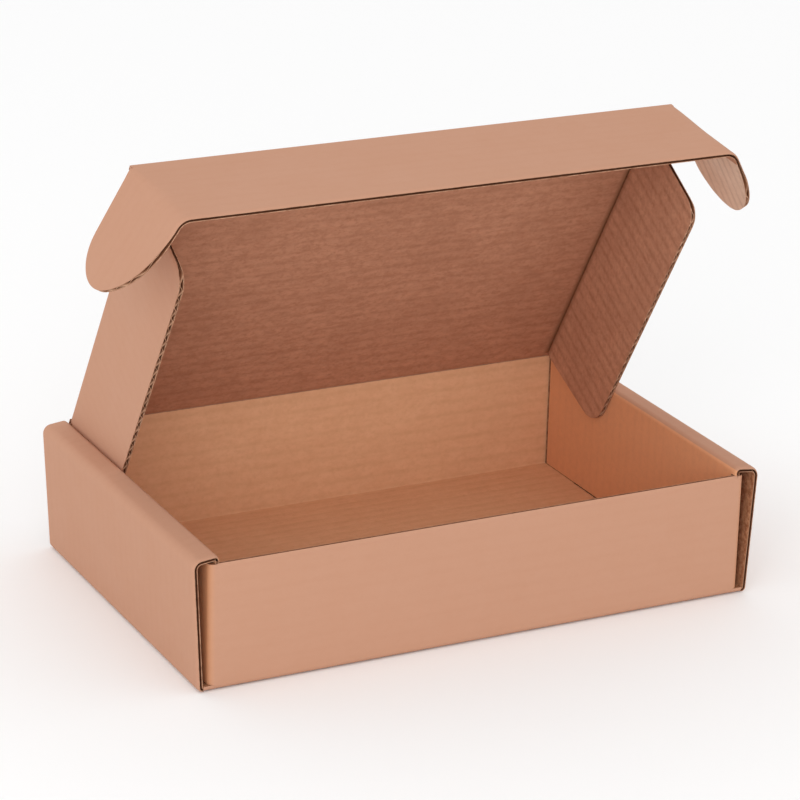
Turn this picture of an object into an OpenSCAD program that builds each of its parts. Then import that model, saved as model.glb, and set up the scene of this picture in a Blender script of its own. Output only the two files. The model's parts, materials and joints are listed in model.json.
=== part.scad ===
// Corrugated mailer box with rolled side walls, a hinged lid and a tuck flap with two ears.
// It is one die-cut sheet, folded. The nodes are the stretches of that sheet between its working creases.
// The origin is on the table under the middle of the tray, with the front of the box towards -Y.

/* [Board] */
// Thickness of the corrugated board
board = 2.8; // [2.2:0.1:3.6]
// Distance from one flute to the next
flute_pitch = 7.9; // [6:0.1:9]
// Thickness of each liner and of the wavy medium between them
paper = 0.35; // [0.2:0.05:0.45]
// How deep the board is open between its liners at a cut edge
flute_depth = 3; // [1.5:0.1:5]

/* [Tray] */
// Width of the tray at its foot, over the outer side panels
tray_w = 329; // [260:1:400]
// Depth of the tray, over the front and back panels
tray_d = 211; // [160:1:260]
// Height of the front panel
front_h = 70; // [50:1:100]
// How far the rolled rims stand above a closed lid's lower face, less one board
rim_rise = 0.6; // [0.4:0.1:2]
// How much higher a rim is at its inner edge than at its outer edge
rim_slope = 1.5; // [0:0.1:3]
// How far an outer side panel leans out at the top
wall_lean = 3.5; // [2:0.1:6]
// Radius of the rim's outer bend, on the middle of the board
rim_bend = 4; // [3:0.1:6]

/* [Corners] */
// Outer radius of the upright folds at the corners
corner_bend = 3.6; // [3.2:0.1:5]
// Space between the layers of a side wall
ply_gap = 0.3; // [0.2:0.05:0.6]
// How far the two dust flaps in a side wall stop short of each other
dust_flap_gap = 16; // [8:1:60]
// Space between an inner side panel's ends and the front and back panels
panel_end_gap = 0.6; // [0.4:0.1:2]

/* [Locks] */
// Width of a lock tab under an inner side panel
tab_w = 30; // [16:1:40]
// Distance of the tabs from the middle of the side
tab_offset = 52; // [36:1:64]
// Clearance of a tab in its slot in the base
slot_gap = 0.4; // [0.2:0.05:0.8]

/* [Lid] */
// Angle of the lid above its closed position
lid_open = 58.5; // [50:0.5:70]
// Space between a closed lid's side flaps and the inner side panels
flap_play = 0.6; // [0.4:0.1:2]
// Space between the closed tuck flap and the front panel
tuck_play = 0.5; // [0.3:0.1:2]
// Gap at a crease between the two panels that turn on it
crease_gap = 0.3; // [0.2:0.05:0.5]

/* [Side flaps] */
// Angle that a side flap is folded in from flat
side_fold = 90; // [90:1:100]
// Depth of a side flap from its crease
side_flap_h = 64; // [40:1:66]
// Distance of a side flap's root from the lid's hinge
side_flap_start = 4; // [3:0.5:12]
// Distance of a side flap's front end from the tuck crease
side_flap_end = 14; // [8:0.5:30]
// How far its rear edge slants forward
side_flap_slant = 8; // [2:0.5:14]
// Radius of its rear corner
side_flap_rear_r = 16; // [6:0.5:20]
// Radius of its front corner
side_flap_front_r = 11; // [5:0.5:16]

/* [Tuck flap and ears] */
// Angle that the tuck flap is folded in from flat
tuck_fold = 66; // [55:1:80]
// Height of the tuck flap from its crease
tuck_h = 68; // [46:1:70]
// Clearance on each side of an ear in its slot, at the foot of the side wall
ear_play = 0.1; // [0.1:0.05:0.6]
// Angle that an ear is folded in from flat
ear_fold = 60; // [50:1:75]
// Length of an ear from its crease
ear_len = 58.5; // [44:0.5:60]
// Distance of an ear's root from the tuck crease
ear_start = 2; // [1.6:0.1:6]
// How far its rear edge slants away from the tuck crease
ear_slant = 2.5; // [0:0.1:5]
// Radius of the small bend beside the tuck crease
ear_small_r = 23; // [16:0.5:24]
// Radius of the long curve towards the free edge
ear_large_r = 56; // [48:0.5:64]

/* [Hidden] */
kraft = [0.78, 0.59, 0.49];
kraft_inside = [0.62, 0.42, 0.32];
half = board / 2;
core = board - 2 * paper;
eps = 0.01;
// A bend is drawn with one straight stretch for each of these degrees
bend_step = 9;
// The tightest fold, on the middle of the board
fold_r = half + 0.2;

// Tray: the layers of a side wall, from the outside to the inside
foot_x = tray_w / 2 - half;
ear_slot = board + 2 * ear_play;
panel_half = tray_w / 2 - board - ear_slot;
dust_x = panel_half - half;
inner_x = dust_x - board - ply_gap;
inner_face = inner_x - half;
dust_len = (tray_d - dust_flap_gap) / 2;
rim_low = front_h + board + rim_rise - half;
// The lowest height at which a layer in a wall clears the base
clear_z = board + ply_gap;

// Lid: the hinge is on the middle of the board, at the top of the back panel
hinge_y = tray_d / 2 - half;
hinge_z = front_h + half;
tuck_y = -tray_d / 2 - tuck_play - half;
lid_len = hinge_y - tuck_y;
flap_face = inner_face - flap_play;
crease_x = flap_face - board;
ear_x = panel_half + ear_play + half;
lid_start = half + crease_gap;
side_root = lid_len - side_flap_end;

// Points along a path of straight stretches, with each corner rounded by its radius.
// Each entry holds a point and the heading there.
function heading(a, b) = atan2(b[1] - a[1], b[0] - a[0]);
function turn(a, b, c) = let (d = heading(b, c) - heading(a, b)) d > 180 ? d - 360 : d < -180 ? d + 360 : d;
function left_of(h) = [-sin(h), cos(h)];
function along(h) = [cos(h), sin(h)];
function bend(a, b, c, r) =
    let (
        h = heading(a, b),
        t = turn(a, b, c),
        side = sign(t),
        start = b - along(h) * r * tan(abs(t) / 2),
        centre = start + left_of(h) * r * side,
        n = max(1, ceil(abs(t) / bend_step))
    )
    [for (i = [0 : n]) [centre - left_of(h + t * i / n) * r * side, h + t * i / n]];
function rounded(path, radii) =
    let (last = len(path) - 1)
    concat(
        [[path[0], heading(path[0], path[1])]],
        [for (i = [1 : last - 1]) each bend(path[i - 1], path[i], path[i + 1], radii[i - 1])],
        [[path[last], heading(path[last - 1], path[last])]]
    );

// The section of a folded board: the path runs along the middle of its thickness
module board_section(path, radii, thick = board) {
    line = rounded(path, radii);
    last = len(line) - 1;
    polygon(concat(
        [for (p = line) p[0] + left_of(p[1]) * thick / 2],
        [for (i = [0 : last]) line[last - i][0] - left_of(line[last - i][1]) * thick / 2]
    ));
}

// A closed outline with rounded corners, without a radius at its first and last points
module rounded_outline(path, radii) polygon([for (p = rounded(path, radii)) p[0]]);

// Draws a section in X and Z along the depth of the tray
module along_depth(length) translate([0, length / 2, 0]) rotate([90, 0, 0]) linear_extrude(length) children();

// Draws a section in Y and Z along the width of the tray
module along_width(length) translate([-length / 2, 0, 0]) rotate([90, 0, 90]) linear_extrude(length) children();

module both_sides() {
    children();
    mirror([1, 0, 0]) children();
}

module both_ends() {
    children();
    mirror([0, 1, 0]) children();
}

// Front panel, base and back panel in one section
module floor_and_ends(wall_h, length) {
    along_width(length)
        board_section(
            [[-hinge_y, wall_h], [-hinge_y, half], [hinge_y, half], [hinge_y, wall_h]],
            [fold_r, fold_r]
        );
}

// An outer side panel, its rolled rim and the inner side panel that comes back down to the base
module wall_section(thick) {
    board_section(
        [
            [panel_half - 1, half],
            [foot_x, half],
            [foot_x + wall_lean, rim_low],
            [inner_x, rim_low + rim_slope],
            [inner_x, clear_z]
        ],
        [fold_r, rim_bend, fold_r],
        thick
    );
}

module rolled_wall() {
    difference() {
        along_depth(tray_d) wall_section(board);
        // The cut ends run along the flutes, so they show one open channel between the liners
        both_ends()
            translate([0, tray_d / 2, 0])
                along_depth(2 * flute_depth) wall_section(core);
        // The inner side panel stops short of the front and back panels
        both_ends()
            translate([inner_face - 1, -tray_d / 2 - 1, clear_z - 1])
                cube([board + 1 + ply_gap / 2, board + panel_end_gap + 1, front_h + ply_gap - clear_z + 1]);
    }
    for (y = [-tab_offset, tab_offset])
        translate([inner_face, y - tab_w / 2, slot_gap])
            cube([board, tab_w, clear_z + board]);
}

// The folded corner of the front panel and the dust flap behind it, inside the side wall
module dust_section(thick) {
    board_section(
        [[panel_half - corner_bend - 1, -hinge_y], [dust_x, -hinge_y], [dust_x, dust_len - tray_d / 2]],
        [corner_bend - half],
        thick
    );
}

module dust_flap() {
    difference() {
        translate([0, 0, clear_z]) linear_extrude(front_h - clear_z) dust_section(board);
        translate([0, 0, front_h - flute_depth]) linear_extrude(2 * flute_depth) dust_section(core);
    }
}

module lock_slot(y) {
    translate([inner_face - slot_gap, y - tab_w / 2 - slot_gap, -1])
        cube([board + 2 * slot_gap, tab_w + 2 * slot_gap, board + 2]);
}

module tray() {
    color(kraft) {
        difference() {
            union() {
                floor_and_ends(front_h, 2 * (panel_half - corner_bend));
                floor_and_ends(clear_z, 2 * panel_half);
            }
            // The front panel's top edge runs along the flutes
            translate([0, -hinge_y, front_h]) cube([2 * panel_half, core, 2 * flute_depth], center = true);
            both_sides() for (y = [-tab_offset, tab_offset]) lock_slot(y);
        }
        both_sides() {
            rolled_wall();
            both_ends() dust_flap();
        }
        // The back panel rises to the lid's crease between the rims
        translate([-flap_face, hinge_y - half, front_h - 1])
            cube([2 * flap_face, board, half + 1]);
        translate([0, hinge_y, hinge_z])
            crease_bead(2 * flap_face);
    }
}

// The round edge of the panel that carries a crease, along X
module crease_bead(length) rotate([0, 90, 0]) cylinder(r = half, h = length, center = true, $fn = 48);

// Room for that round edge in the panel that turns on it and reaches towards -Y
module crease_socket(length) {
    rotate([0, 90, 0]) cylinder(r = lid_start, h = length, center = true, $fn = 48);
    translate([-length / 2, -lid_start, -board]) cube([length, lid_start + board, board]);
}

// Rows of open flute ends on a board that lies in X and Y, with its flutes along X
module flute_rows(length, start, stop) {
    rise = board - 2 * paper;
    wide = flute_pitch * 0.36;
    narrow = flute_pitch * 0.08;
    count = floor((stop - start) / (flute_pitch / 2));
    for (i = [1 : count - 1]) {
        up = i % 2 == 0 ? 1 : -1;
        translate([0, -start - i * flute_pitch / 2, 0])
            rotate([90, 0, 90])
                linear_extrude(length)
                    polygon([
                        [-wide, up * rise / 2],
                        [wide, up * rise / 2],
                        [narrow, up * (paper - rise / 2)],
                        [-narrow, up * (paper - rise / 2)]
                    ]);
    }
}

// The flutes are open for a short way in from the edge that the outline gives
module open_flutes(length, start, stop) {
    intersection() {
        flute_rows(length, start, stop);
        linear_extrude(board, center = true)
            difference() {
                translate([eps, 0]) children();
                translate([-flute_depth, 0]) children();
            }
    }
}

module at_lid() translate([0, hinge_y, hinge_z]) rotate([-lid_open, 0, 0]) children();

module at_tuck_flap() at_lid() translate([0, -lid_len, 0]) rotate([tuck_fold, 0, 0]) children();

// The lid lies towards -Y from its hinge, with its outer face up, when it is closed
module lid() {
    color(kraft_inside)
        at_lid() {
            linear_extrude(board, center = true) {
                translate([-crease_x, -lid_len]) square([2 * crease_x, lid_len - lid_start]);
                translate([-flap_face, half + crease_gap - lid_len])
                    square([2 * flap_face, side_flap_end - lid_start - 1]);
                translate([-ear_x, -lid_len]) square([2 * ear_x, half + tuck_play / 2]);
            }
            translate([0, -lid_len, 0]) crease_bead(2 * ear_x);
            both_sides() side_crease();
        }
}

// The round fold that carries a side flap, about the crease on the lid's inner face
module side_crease() {
    translate([crease_x, -side_flap_start, -half])
        rotate([90, 0, 0])
            linear_extrude(side_root - side_flap_start)
                intersection() {
                    circle(r = board, $fn = 48);
                    translate([0, -board]) square([board, 2 * board]);
                }
}

module side_flap_outline() {
    rounded_outline(
        [
            [0, -side_flap_start],
            [side_flap_h, -side_flap_start - side_flap_slant],
            [side_flap_h, -side_root],
            [0, -side_root]
        ],
        [side_flap_rear_r, side_flap_front_r]
    );
}

// A side flap turns on the crease in the lid's inner face
module side_flap() {
    color(kraft_inside)
        at_lid()
            translate([crease_x, 0, -half])
                rotate([0, side_fold, 0])
                    difference() {
                        linear_extrude(board) side_flap_outline();
                        rotate([90, 0, 0]) cylinder(r = board + crease_gap, h = lid_len, $fn = 48);
                        translate([0, 0, half])
                            open_flutes(side_flap_h + 1, side_flap_start, side_root) side_flap_outline();
                    }
}

module tuck_flap() {
    color(kraft)
        at_tuck_flap() {
            difference() {
                translate([-ear_x, -tuck_h, -half]) cube([2 * ear_x, tuck_h, board]);
                translate([0, -tuck_h, 0]) cube([2 * ear_x + 2, 2 * flute_depth, core], center = true);
                crease_socket(2 * ear_x + 2);
            }
            both_sides()
                translate([ear_x, -(ear_start + tuck_h) / 2, 0])
                    rotate([0, 0, 90]) crease_bead(tuck_h - ear_start);
        }
}

// An ear's outline: a slanted rear edge, a small bend, a long curve and a straight root.
// The long curve meets the small bend without a corner.
module ear_outline() {
    rear = ear_start + ear_slant;
    small_s = rear + ear_small_r;
    small_x = ear_len - ear_small_r;
    ratio = (tuck_h - small_s - ear_large_r) / (ear_large_r - ear_small_r);
    meet = acos(-ratio);
    large_s = tuck_h - ear_large_r;
    large_x = small_x - (ear_large_r - ear_small_r) * sin(meet);
    foot = asin(min(1, large_x < 0 ? -large_x / ear_large_r : 0));
    polygon(concat(
        [[0, -ear_start]],
        [for (i = [0 : 16]) let (a = 180 + (meet - 180) * i / 16)
            [small_x + ear_small_r * sin(a), -small_s - ear_small_r * cos(a)]],
        [for (i = [1 : 16]) let (a = meet + (foot - meet) * i / 16)
            [large_x + ear_large_r * sin(a), -large_s - ear_large_r * cos(a)]],
        [[0, -tuck_h]]
    ));
}

module ear() {
    color(kraft)
        at_tuck_flap()
            translate([ear_x, 0, 0])
                rotate([0, ear_fold, 0])
                    difference() {
                        linear_extrude(board, center = true) ear_outline();
                        rotate([0, 0, 90]) crease_socket(2 * tuck_h + 2);
                        open_flutes(ear_len + 1, ear_start, tuck_h) ear_outline();
                    }
}

module right_side_flap() side_flap();
module left_side_flap() mirror([1, 0, 0]) side_flap();
module right_ear() ear();
module left_ear() mirror([1, 0, 0]) ear();

tray();
lid();
tuck_flap();
left_side_flap();
right_side_flap();
left_ear();
right_ear();
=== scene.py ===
# %% [markdown]
# # A corrugated mailer box
# The box is one die-cut sheet of kraft board, folded up and standing open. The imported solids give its
# sizes, its hinges and what moves with what. This file gives it the look of real board: two smooth liners
# with a wavy medium between them, creases where the paper stretches round a fold, and a dry brown paper
# finish.

# %% Load the frame
import json
import math

import bpy
import numpy as np
from mathutils import Matrix, Vector


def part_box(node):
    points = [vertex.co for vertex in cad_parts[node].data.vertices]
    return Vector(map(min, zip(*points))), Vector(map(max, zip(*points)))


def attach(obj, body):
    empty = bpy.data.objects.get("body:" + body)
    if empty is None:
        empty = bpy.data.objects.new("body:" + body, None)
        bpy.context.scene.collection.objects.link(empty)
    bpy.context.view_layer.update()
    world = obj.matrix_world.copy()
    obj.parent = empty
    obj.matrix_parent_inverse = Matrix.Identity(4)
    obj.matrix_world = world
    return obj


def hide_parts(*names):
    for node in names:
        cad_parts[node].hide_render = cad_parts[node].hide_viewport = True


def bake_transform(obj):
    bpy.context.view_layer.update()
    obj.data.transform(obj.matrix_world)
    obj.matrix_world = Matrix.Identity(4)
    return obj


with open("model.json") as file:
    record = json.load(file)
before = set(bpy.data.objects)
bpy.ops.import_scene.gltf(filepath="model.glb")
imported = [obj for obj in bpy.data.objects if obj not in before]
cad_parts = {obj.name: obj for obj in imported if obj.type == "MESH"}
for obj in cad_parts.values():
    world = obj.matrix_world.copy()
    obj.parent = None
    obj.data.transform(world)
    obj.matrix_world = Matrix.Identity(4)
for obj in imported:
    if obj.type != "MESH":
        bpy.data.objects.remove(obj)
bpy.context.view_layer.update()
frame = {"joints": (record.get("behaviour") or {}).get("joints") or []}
hinges = {j["name"]: j for j in frame["joints"]}

# %% [markdown]
# ## The camera comes first
# The photograph is square and was taken with a long lens, from in front of the box, to its left and above
# it. A camera is a place, three turns and a lens, so those are the values here. The focal length is given
# in pixels of an 800 pixel frame and turned into millimetres of a 36 mm sensor.

# %% Camera
FRAME_PIXELS = 800
FOCAL_PIXELS = 3396.4
SENSOR_MM = 36
CAMERA_PLACE = Vector((-0.7939, -1.5517, 0.7468))
CAMERA_YAW = math.radians(27.12)
CAMERA_PITCH = math.radians(-20.35)
CAMERA_ROLL = math.radians(1.53)
FARTHEST_SEEN_M = 50


def placed(name, data):
    """A new object that carries the data, put in the scene."""
    made = bpy.data.objects.new(name, data)
    bpy.context.scene.collection.objects.link(made)
    return made


def make_camera():
    data = bpy.data.cameras.new("camera")
    data.sensor_width = SENSOR_MM
    data.lens = SENSOR_MM * FOCAL_PIXELS / FRAME_PIXELS
    data.clip_end = FARTHEST_SEEN_M
    camera = placed("camera", data)
    ahead = Vector((
        math.sin(CAMERA_YAW) * math.cos(CAMERA_PITCH),
        math.cos(CAMERA_YAW) * math.cos(CAMERA_PITCH),
        math.sin(CAMERA_PITCH),
    ))
    right = ahead.cross(Vector((0, 0, 1))).normalized()
    up = right.cross(ahead)
    turned_right = right * math.cos(CAMERA_ROLL) + up * math.sin(CAMERA_ROLL)
    turned_up = up * math.cos(CAMERA_ROLL) - right * math.sin(CAMERA_ROLL)
    turn = Matrix((turned_right, turned_up, -ahead)).transposed()
    camera.matrix_world = Matrix.Translation(CAMERA_PLACE) @ turn.to_4x4()
    bpy.context.scene.camera = camera
    return camera


camera = make_camera()
print("lens:", round(camera.data.lens, 1), "mm")

# %% [markdown]
# ## Sizes of the board and of the box
# Everything is in millimetres until a mesh is made. The places of the hinges come from the frame, and the
# rest of the sizes are those of the folded sheet.

# %% Sizes
MM = 0.001
BOARD = 2.8
HALF = BOARD / 2
PAPER = 0.35
FLUTE_PITCH = 7.9
CREASE_GAP = 0.3
PLY_GAP = 0.3
EAR_PLAY = 0.1
INSIDE_BEND = 0.2
FOLD_RADIUS = HALF + INSIDE_BEND


def hinge_place(name):
    return Vector(hinges[name]["pos_m"]) / MM


hinge = hinge_place("lid_hinge")
tuck_crease = hinge_place("tuck_flap_hinge")
crease_x = hinge_place("right_side_flap_hinge").x
ear_x = hinge_place("right_ear_hinge").x

tray_low, tray_high = (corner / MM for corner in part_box("tray"))
front_y = tray_low.y
back_y = tray_high.y
front_h = hinge.z - HALF
lid_len = (tuck_crease - hinge).length

panel_half = ear_x - EAR_PLAY - HALF
foot_x = panel_half + BOARD + 2 * EAR_PLAY + HALF
dust_x = panel_half - HALF
inner_x = dust_x - BOARD - PLY_GAP
inner_face = inner_x - HALF
flap_face = crease_x + BOARD
clear_z = BOARD + PLY_GAP
print("tray depth:", round(back_y - front_y, 1), "mm")
print("lid:", round(lid_len, 1), "mm, front panel:", round(front_h, 1), "mm")

# %% [markdown]
# ## Where each panel lies
# A panel has its own three directions: along its flutes, across its flutes, and out of its outer face. The
# lid, the tuck flap and the ears each follow from the hinge before them.

# %% Directions of the moving panels
RIGHT = Vector((1, 0, 0))
UP = Vector((0, 0, 1))
BACK = Vector((0, 1, 0))
lid_along = (tuck_crease - hinge).normalized()
lid_out = RIGHT.cross(lid_along).normalized()
if lid_out.z < 0:
    lid_out = -lid_out
tuck_along = Vector(hinges["left_ear_hinge"]["axis"]).normalized()
tuck_out = RIGHT.cross(tuck_along).normalized()
if tuck_out.z < 0:
    tuck_out = -tuck_out
EAR_FOLD = math.radians(60)
ear_along = RIGHT * math.cos(EAR_FOLD) - tuck_out * math.sin(EAR_FOLD)
ear_out = RIGHT * math.sin(EAR_FOLD) + tuck_out * math.cos(EAR_FOLD)
print("lid rises at", round(math.degrees(math.asin(lid_along.z)), 1), "degrees")


def mirrored(point):
    return Vector((-point.x, point.y, point.z))


# %% [markdown]
# ## Folded paths
# A folded board is a straight path with its corners rounded. The same small function serves the rolled side
# walls, the front corners and the rounded ends of the flaps.

# %% Paths with rounded corners
BEND_STEP = math.radians(12)
NEAR_SHARE = 0.3


def rounded(path, radii):
    """The path's points, with each inner corner turned into an arc of its radius."""
    points = [Vector(path[0])]
    for before, corner, after, radius in zip(path, path[1:], path[2:], radii):
        before, corner, after = Vector(before), Vector(corner), Vector(after)
        into = (corner - before).normalized()
        out = (after - corner).normalized()
        turn = into.angle_signed(out)
        centre_side = -1 if turn > 0 else 1
        normal = Vector((-into.y, into.x)) * centre_side
        start = corner - into * radius * math.tan(abs(turn) / 2)
        centre = start + normal * radius
        steps = max(2, math.ceil(abs(turn) / BEND_STEP))
        for step in range(steps + 1):
            angle = -turn * step / steps
            arm = start - centre
            spun = Vector((
                arm.x * math.cos(angle) - arm.y * math.sin(angle),
                arm.x * math.sin(angle) + arm.y * math.cos(angle),
            ))
            points.append(centre + spun)
    points.append(Vector(path[-1]))
    return points


def resampled(points, stops):
    """Points at the given distances along a path."""
    lengths = [0.0]
    for a, b in zip(points, points[1:]):
        lengths.append(lengths[-1] + (b - a).length)
    xs = np.interp(stops, lengths, [p.x for p in points])
    ys = np.interp(stops, lengths, [p.y for p in points])
    return [Vector((x, y)) for x, y in zip(xs, ys)]


def path_length(points):
    return sum((b - a).length for a, b in zip(points, points[1:]))


def steps_between(low, high, step, extra=()):
    """Even steps from low to high, with the extra stops in place of the even ones that lie near them."""
    count = max(1, round((high - low) / step))
    even = [low + (high - low) * i / count for i in range(count + 1)]
    near = step * NEAR_SHARE
    kept = [e for e in even if all(abs(e - x) > near for x in extra) or e in (low, high)]
    return sorted(set(kept) | {x for x in extra if low < x < high})


print("a square bend takes", len(rounded([(0, 0), (9, 0), (9, 9)], [FOLD_RADIUS])), "points")

# %% [markdown]
# ## The middle of a board
# Each panel starts as a bare sheet through the middle of the board, with one number on every point: how far
# the point lies across the flutes. A later step reads that number and makes the paper layers. Mesh code is
# the right tool here, because a sheet is only a grid of points that follow a formula. The points carry a
# few marks more: where light and shade are painted into the paper's colour, and how far a cut edge is
# crushed, because the die that cuts the board also presses its edges thinner.

# %% Sheets through the middle of the board
FINE_STEP = FLUTE_PITCH / 12
COARSE_STEP = FLUTE_PITCH / 5
EDGE_REACH = 2.2
CREASE_SHADE = 3
SHORT_PANEL_SHARE = 0.45
END_STOPS = {"plain": (), "cut": (EDGE_REACH / 2, EDGE_REACH), "crease": (CREASE_SHADE,)}


def crush_at(distance):
    """How far the board is crushed, from 0 to 1, at a distance from a cut edge."""
    return min(1.0, max(0.0, 1 - distance / EDGE_REACH)) ** 2


def marked(columns, measure):
    """One number for each point of the columns."""
    return [[measure(point) for point in column] for column in columns]


def end_points(kind, end, inward, room):
    """Places from one end of a flute inwards, closer on a short one, each with how much painted highlight at
    an open flute and how much painted crease shade the board gets there."""
    shrink = min(1.0, SHORT_PANEL_SHARE * room / EDGE_REACH)
    points = []
    for away in (0, *END_STOPS[kind]):
        painted_edge_light = crush_at(away) if kind == "cut" else 0.0
        painted_crease_shade = 1 - away / CREASE_SHADE if kind == "crease" else 0.0
        points.append((end + inward * away * shrink, painted_edge_light, painted_crease_shade))
    return points


class MiddleSheet:
    """Collects the grids that make one body's board, in millimetres."""

    def __init__(self):
        self.points = []
        self.across = []
        self.marks = {name: [] for name in ("rolled", "tucked", "hidden", "painted_crease_shade", "painted_edge_light", "crushed")}
        self.faces = []
        self.hollow = []

    def add_grid(self, columns, across, outward, keep=None, hollow=None, **marks):
        """columns is a list of equally long lists of points. outward tells which side is the outer face.
        keep says which faces stay, and hollow which lie beside an edge that was cut along a flute. A mark has
        one number for each point."""
        first = len(self.points)
        rows = len(columns[0])
        for column, value in zip(columns, across):
            self.points.extend(column)
            self.across.extend([value] * rows)
        blank = [[0.0] * rows] * len(columns)
        for mark, values in self.marks.items():
            for column in marks.get(mark, blank):
                values.extend(column)
        faces = []
        for i in range(len(columns) - 1):
            for j in range(rows - 1):
                corners = [columns[i][j], columns[i + 1][j], columns[i + 1][j + 1], columns[i][j + 1]]
                middle = sum(corners, Vector()) / 4
                if keep is None or keep(middle):
                    a = first + i * rows + j
                    faces.append((a, a + rows, a + rows + 1, a + 1))
                    self.hollow.append(bool(hollow and hollow(middle)))
        tested = columns[0][0], columns[1][0], columns[0][1]
        normal = (tested[1] - tested[0]).cross(tested[2] - tested[0])
        if normal.dot(outward) < 0:
            faces = [tuple(reversed(f)) for f in faces]
        self.faces.extend(faces)

    def flat_panel(self, place, lows, highs, stops, outward, ends=("plain", "plain"), hollow=None, cut=None):
        """A flat panel. place turns (along the flutes, across them) into a point, and lows and highs end it.
        ends tells what its two ends are, and cut is the stop where it was cut along a flute."""
        columns = []
        marks = {"painted_edge_light": [], "painted_crease_shade": [], "crushed": []}
        for low, high, v in zip(lows, highs, stops):
            room = high - low
            line = end_points(ends[0], low, 1, room) + end_points(ends[1], high, -1, room)[::-1]
            columns.append([place(u, v) for u, _, _ in line])
            marks["painted_edge_light"].append([amount for _, amount, _ in line])
            marks["painted_crease_shade"].append([amount for _, _, amount in line])
            marks["crushed"].append([crush_at(cut - v) if cut else 0.0] * len(line))
        self.add_grid(columns, stops, outward, hollow=hollow, **marks)

    def to_object(self, name):
        mesh = bpy.data.meshes.new(name)
        mesh.from_pydata([p * MM for p in self.points], [], self.faces)
        across = mesh.attributes.new("across", "FLOAT", "POINT")
        across.data.foreach_set("value", np.array(self.across, np.float32) * MM)
        for mark, values in self.marks.items():
            mesh.attributes.new(mark, "FLOAT", "POINT").data.foreach_set("value", values)
        hollow = mesh.attributes.new("hollow", "BOOLEAN", "FACE")
        hollow.data.foreach_set("value", self.hollow)
        return placed(name, mesh)


print("crushed at a cut edge:", crush_at(0), "and 1 mm in:", round(crush_at(1), 2))

# %% [markdown]
# ## Kraft paper
# Kraft liner is a dry, fibrous, slightly mottled brown paper. Its colour comes from two browns mixed by a
# soft noise, and from short fibres that lie along the sheet. Where the paper is glued to the tips of the
# flutes it shows faint lines, which read the distance across the flutes that every point carries. The marks
# on the points paint light and shade into the colour: painted shade in a crease and where a layer lies
# hidden, painted warm light where the paper turns over and in the recess at each front corner, and a painted
# highlight at an open flute. The flute paper is a darker brown, which is painted shade inside the flutes.
# The inner liner is one paper on the real box, and the lid, its side flaps, the tray and the ears each have
# a mix of their own: the tray's is lighter and warmer and the ears' lighter and paler, which is painted
# light.
# Roughness stays high, with a small bump, so that the surface scatters light as paper does.

# %% Material helpers
def srgb(red, green, blue):
    """A colour picked on the 0 to 255 scale, as Blender's linear colour."""
    values = []
    for level in (red, green, blue):
        c = level / 255
        values.append(c / 12.92 if c <= 0.04045 else ((c + 0.055) / 1.055) ** 2.4)
    return (*values, 1.0)


class Wiring:
    """What a material and a Geometry Nodes tree share: new nodes, links, and sums of their values."""

    def node(self, kind, **values):
        made = self.tree.nodes.new(kind)
        for key, value in values.items():
            setattr(made, key, value)
        return made

    def link(self, output, target):
        self.tree.links.new(output, target)

    def feed(self, socket, value):
        """Writes a plain number or colour on a socket, or links another node's output to it."""
        if isinstance(value, (int, float, tuple)):
            socket.default_value = value
        else:
            self.link(value, socket)

    def math(self, operation, a, b=0.0):
        made = self.node("ShaderNodeMath", operation=operation)
        self.feed(made.inputs[0], a)
        self.feed(made.inputs[1], b)
        return made.outputs[0]


class Shader(Wiring):
    """A small hand for wiring a material's nodes."""

    def __init__(self, name):
        self.material = bpy.data.materials.new(name)
        self.material.use_nodes = True
        self.tree = self.material.node_tree
        self.surface = self.tree.nodes["Principled BSDF"]

    def noise(self, scale, detail, stretch=(1, 1, 1), roughness=0.6):
        place = self.node("ShaderNodeTexCoord")
        mapping = self.node("ShaderNodeMapping")
        mapping.inputs["Scale"].default_value = stretch
        made = self.node("ShaderNodeTexNoise")
        made.inputs["Scale"].default_value = scale
        made.inputs["Detail"].default_value = detail
        made.inputs["Roughness"].default_value = roughness
        self.link(place.outputs["Object"], mapping.inputs["Vector"])
        self.link(mapping.outputs["Vector"], made.inputs["Vector"])
        return made.outputs["Fac"]

    def spread(self, value, low, high, to_low=0.0, to_high=1.0):
        made = self.node("ShaderNodeMapRange")
        for name, number in (("From Min", low), ("From Max", high), ("To Min", to_low), ("To Max", to_high)):
            made.inputs[name].default_value = number
        self.link(value, made.inputs["Value"])
        return made.outputs["Result"]

    def grain(self, start, end, low=0.0, high=1.0, **noise):
        """Noise that rises from low to high between two of its own levels."""
        return self.spread(self.noise(**noise), start, end, low, high)

    def mix(self, amount, first, second):
        made = self.node("ShaderNodeMix", data_type="RGBA", blend_type="MIX")
        factor, a, b = made.inputs["Factor"], made.inputs[6], made.inputs[7]
        for socket, value in ((factor, amount), (a, first), (b, second)):
            self.feed(socket, value)
        return made.outputs[2]


print("middle grey in linear light:", round(srgb(128, 128, 128)[0], 3))

# %% Kraft liners and the medium
CLOUD = {"scale": 38, "detail": 3, "start": 0.36, "end": 0.64}
STREAK = {"scale": 300, "detail": 4, "stretch": (0.45, 1, 1), "roughness": 0.7, "start": 0.42, "end": 0.66}
FLECK = {"scale": 430, "detail": 4, "stretch": (0.8, 1, 1), "start": 0.48, "end": 0.68}
PALE_FLECK = {"scale": 560, "detail": 3, "stretch": (1, 0.4, 1), "start": 0.60, "end": 0.78}
BROKEN_LINE = {"scale": 90, "detail": 3, "stretch": (0.3, 1, 1), "start": 0.3, "end": 0.7}
FIBRE = {"scale": 900, "detail": 4}
CLOUD_SHARE = 0.5
FLECK_SHARE = 0.9
PALE_SHARE = 0.5
FAINTEST_LINE = 0.3
STRONGEST_LINE = 1.4
LINE_SHARPNESS = 3
PAPER_ROUGHNESS = (0.78, 0.9)
PAPER_SPECULAR = 0.25
FIBRE_HEIGHT = 0.0003


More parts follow.
